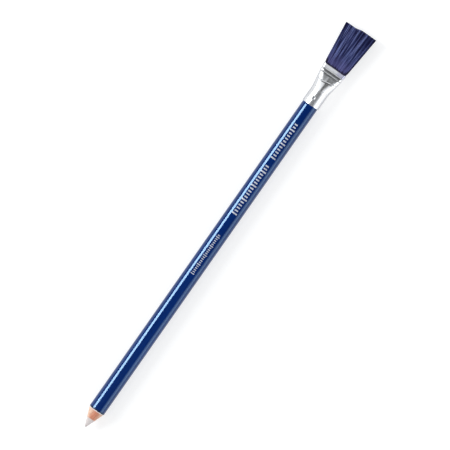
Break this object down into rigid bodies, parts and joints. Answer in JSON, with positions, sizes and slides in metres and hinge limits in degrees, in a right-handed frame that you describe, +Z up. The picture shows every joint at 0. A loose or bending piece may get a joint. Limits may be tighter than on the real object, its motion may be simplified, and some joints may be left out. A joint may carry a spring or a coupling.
{
  "type": "eraser pencil with brush",
  "caption": "Wood-cased eraser pencil: a pale rubber core in a round blue lacquered barrel, sharpened at one end, with a flat brush in a crimped metal ferrule at the other.",
  "frame": {"origin": "on the floor, below the middle of the object's box", "axes": "+X along the pencil from the eraser's point to the brush, +Z up from the floor, +Y across the brush's wide face"},
  "size_m": [0.2086, 0.0153, 0.0081],
  "materials": {
    "core_rubber": "matt, fine abrasive grain",
    "casing_wood": "fresh cut, unvarnished",
    "primer_paint": "matt undercoat",
    "blue_lacquer": "high gloss",
    "ferrule_metal": "bright drawn and pressed",
    "set_cement": "dull cast",
    "bristle_nylon": "satin filaments"
  },
  "bodies": {
    "root": {"eraser_core": "core_rubber", "casing_slat_upper": "casing_wood", "casing_slat_lower": "casing_wood", "primer_coat": "primer_paint", "lacquer_coat": "blue_lacquer", "ferrule": "ferrule_metal", "root_cement": "set_cement", "bristle_tuft": "bristle_nylon"}
  },
  "joints": []
}
